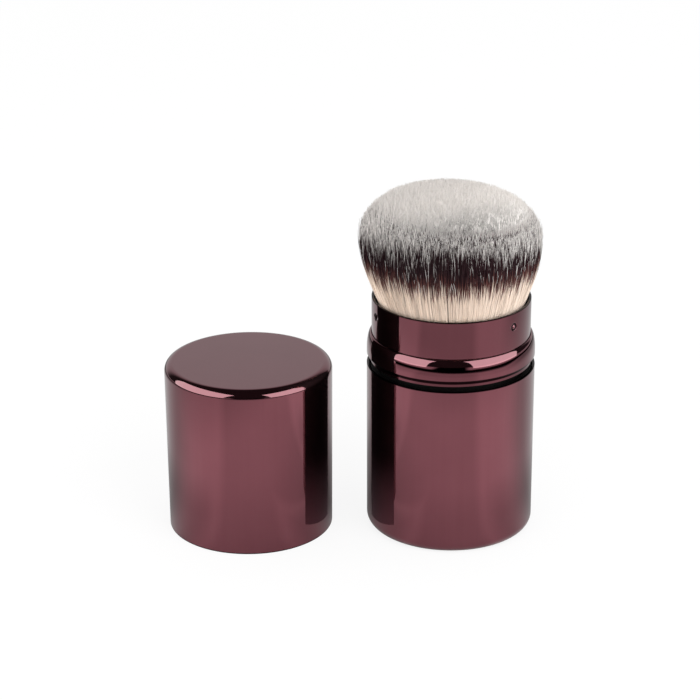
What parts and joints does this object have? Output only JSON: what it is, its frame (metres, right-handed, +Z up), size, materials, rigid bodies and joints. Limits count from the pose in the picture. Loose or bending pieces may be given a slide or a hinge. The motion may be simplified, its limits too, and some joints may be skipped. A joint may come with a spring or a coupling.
{
  "type": "retractable makeup brush",
  "caption": "Short round makeup brush with a domed bristle head, a collar that slides up to gather the bristles, and a push-on metal cap standing beside it.",
  "frame": {"origin": "centre of the base's flat underside, on the brush's own axis", "axes": "+Z up the brush's axis from the base to the bristles; the cap stands on its mouth at -X; -Y is the side that the picture shows"},
  "size_m": [0.0791, 0.0378, 0.0742],
  "materials": {
    "wine_plating": "mirror-polished wine-coloured plating on drawn aluminium",
    "bare_aluminium": "pressed, bare",
    "zinc_steel": "zinc-plated",
    "dark_plastic": "moulded, fine matt",
    "black_rubber": "matt",
    "amber_resin": "cast, clear amber",
    "binding_thread": "waxed thread",
    "bristle_fibre": "soft fibre with cream roots, a dark band and pale grey tips"
  },
  "bodies": {
    "base": {"base_shell": "wine_plating", "ballast_ring": "zinc_steel", "base_liner": "dark_plastic", "guide_bush": "dark_plastic", "knot_post": "dark_plastic", "post_screw": "zinc_steel", "post_washer": "zinc_steel", "ferrule_cup": "bare_aluminium", "ferrule_screw": "zinc_steel", "ferrule_washer": "zinc_steel", "resin_plug": "amber_resin", "knot_binding": "binding_thread", "bristle_head": "bristle_fibre"},
    "collar": {"guide_sleeve": "dark_plastic", "stop_ring": "dark_plastic", "friction_ring": "black_rubber", "collar_shell": "wine_plating", "trim_ring": "wine_plating"},
    "cap": {"cap_shell": "wine_plating", "cap_liner": "dark_plastic"}
  },
  "joints": [
    {"name": "collar_slide", "type": "slide", "parent": "base", "child": "collar", "axis": [0, 0, 1], "range_m": [-0.0017, 0.022], "deforming": ["bristle_head"]},
    {"name": "cap_lift", "type": "slide", "parent": "base", "child": "cap", "axis": [0, 0, 1], "range_m": [0, 0.09]}
  ]
}
